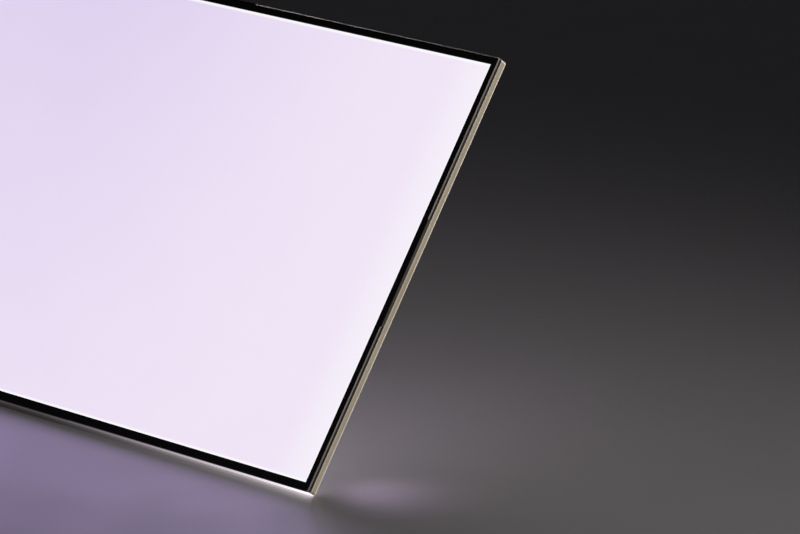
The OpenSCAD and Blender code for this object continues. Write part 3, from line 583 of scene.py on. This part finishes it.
def power_mark():
    """A plain on-off mark, an open ring with a bar, that follows the button's dished top."""
    across, up = node_middle("power_button")
    top = panel_span("power_button", BACK)[1]
    dish_r, dish_depth = 22 * MM, 0.35 * MM
    width, proud, sunk = 0.42 * MM, 0.06 * MM, 0.03 * MM
    section = ((-1, -sunk), (-1, proud * 0.6), (-0.6, proud), (0.6, proud), (1, proud * 0.6), (1, -sunk))

    def on_dish(x, y, height):
        fall = dish_r - math.sqrt(dish_r ** 2 - x * x - y * y)
        return panel_point(across + x, up + y, top - dish_depth + fall + height)

    def band(centres, normals):
        """A low raised band along a line of points on the button."""
        start = len(points)
        for (x, y), (nx, ny) in zip(centres, normals):
            for side, height in section:
                points.append(on_dish(x + nx * side * width / 2, y + ny * side * width / 2, height))
        rows, around = len(centres), len(section)
        last_row = start + (rows - 1) * around
        faces.extend(grid_faces(rows, around, wrap_columns=True, start=start))
        faces.append(tuple(range(start, start + around)))
        faces.append(tuple(reversed(range(last_row, last_row + around))))

    points, faces = [], []
    ring_r, steps, opening = 2.0 * MM, 40, math.radians(38)
    turns = [math.pi / 2 + opening + (2 * math.pi - 2 * opening) * i / steps for i in range(steps + 1)]
    band([(ring_r * math.cos(a), ring_r * math.sin(a)) for a in turns],
         [(math.cos(a), math.sin(a)) for a in turns])
    band([(0, 0.5 * MM + 2.1 * MM * i / 6) for i in range(7)], [(1, 0)] * 7)
    make_piece("power_mark", points, faces, MARK_WHITE, "power_button", smooth_angle=50)


threaded_insert()
ribbed_foot()
brightness_dots()
power_mark()


# ---- floor, lights and camera ----

def floor_material():
    t = Tree("floor_pale", (0.60, 0.56, 0.61), 0.34, Specular_IOR_Level=0.35)
    t.colour(t.mix(t.ramp(t.noise(4, 3), 0.3, 0.7), (0.59, 0.55, 0.60), (0.61, 0.57, 0.62)))
    t.rough(t.ramp(t.noise(30, 3), 0.3, 0.7, 0.3, 0.38))
    return t.material


def make_floor():
    mesh = bpy.data.meshes.new("floor")
    half = 30       # metres, so that its edge is never in view
    corners = [(-half, -half, 0), (half, -half, 0), (half, half, 0), (-half, half, 0)]
    mesh.from_pydata(corners, [], [(0, 1, 2, 3)])
    floor = bpy.data.objects.new("floor", mesh)
    bpy.context.scene.collection.objects.link(floor)
    dress(floor, floor_material())


def put_aimed(data, place, target):
    """Puts a lamp or the camera in its place, turned towards its target."""
    obj = bpy.data.objects.new(data.name, data)
    bpy.context.scene.collection.objects.link(obj)
    obj.location = place
    obj.rotation_mode = "QUATERNION"
    obj.rotation_quaternion = (Vector(target) - Vector(place)).to_track_quat("-Z", "Y")
    return obj


def area_light(name, place, target, size, power, colour=(1, 1, 1), only=None):
    """A soft round light. Where only is given, it lights that group and nothing else."""
    lamp = bpy.data.lights.new(name, "AREA")
    lamp.shape = "DISK"
    lamp.size = size
    lamp.energy = power
    lamp.color = colour
    obj = put_aimed(lamp, place, target)
    obj.visible_camera = False
    if only is not None:
        obj.light_linking.receiver_collection = only
    return obj


def spot_light(name, place, target, angle, soft, power, colour):
    """A soft-edged spot on the floor that leaves no reflection of itself."""
    lamp = bpy.data.lights.new(name, "SPOT")
    lamp.energy = power
    lamp.color = colour
    lamp.spot_size = math.radians(angle)
    lamp.spot_blend = 1.0
    lamp.shadow_soft_size = soft
    obj = put_aimed(lamp, place, target)
    obj.visible_camera = False
    obj.visible_glossy = False


def lit_group(name, members):
    """A group of pieces, for the lamps that leave everything else alone."""
    group = bpy.data.collections.new(name)
    for obj in members:
        group.objects.link(obj)
    return group


def make_spill():
    """What the panel throws on the floor, which its picture-level glow is too weak to give."""
    middle = panel_point(0, sum(FACE_UP) / 2, FRONT_DEPTH)
    spill = area_light("panel_spill", middle - BACK * MM, middle - BACK, LIT_W, 0.082, (0.28, 0.02, 1.0))
    spill.data.shape = "RECTANGLE"
    spill.data.size_y = LIT_H


def make_lights():
    world = bpy.data.worlds.new("studio")
    bpy.context.scene.world = world
    world.use_nodes = True
    background = world.node_tree.nodes["Background"]
    background.inputs["Color"].default_value = (0.95, 0.96, 1.0, 1)
    background.inputs["Strength"].default_value = 0.017
    middle = (0, 0, PANEL_H / 3)
    pieces = [o for o in bpy.context.scene.objects if o.type == "MESH" and o.name != "floor"]
    product = lit_group("product", pieces)
    rim = lit_group("rim", (nodes["mould_frame"], nodes["front_bezel"]))
    make_spill()
    # the pool of light in front and to the right, and the streak beside the corner it stands on
    spot_light("front_pool", (0.98, 0.03, 0.72), (0.34, -0.09, 0), 59, 0.12, 8.5, (1.0, 1.0, 0.93))
    spot_light("corner_streak", (0.160, -0.043, 0.03), (0.172, -0.038, 0), 84, 0.008, 0.011,
               (0.85, 0.66, 1.0))
    area_light("side_key", (0.88, 0.32, 0.16), middle, 0.4, 3.2, (1.0, 0.96, 0.88), only=rim)
    area_light("rear_soft", (0.35, 1.25, 0.3), middle, 0.6, 10.5, (1.0, 0.88, 0.98), only=product)
    area_light("rear_rim", (-0.9, 0.8, 0.35), middle, 0.4, 12.0, (1.0, 0.98, 0.95), only=product)
    area_light("rear_top", (-0.2, 0.9, 1.0), middle, 0.6, 2.4, (1.0, 1.0, 1.0), only=product)


def make_camera():
    """A long lens, level, aimed at the middle of the lit face's right-hand edge."""
    azimuth, elevation = math.radians(41.3), math.radians(17.15)
    distance = 1.93
    camera = bpy.data.cameras.new("camera")
    camera.lens = 225
    camera.sensor_width = 36
    aim = panel_point(LIT_W / 2 - 0.45 * MM, sum(FRAME_UP) / 2 + 1.7 * MM, FRONT_DEPTH)
    away = Vector((math.sin(azimuth) * math.cos(elevation), -math.cos(azimuth) * math.cos(elevation),
                   math.sin(elevation)))
    bpy.context.scene.camera = put_aimed(camera, aim + away * distance, aim)


make_floor()
make_lights()
make_camera()
bpy.context.scene.view_settings.view_transform = "Standard"
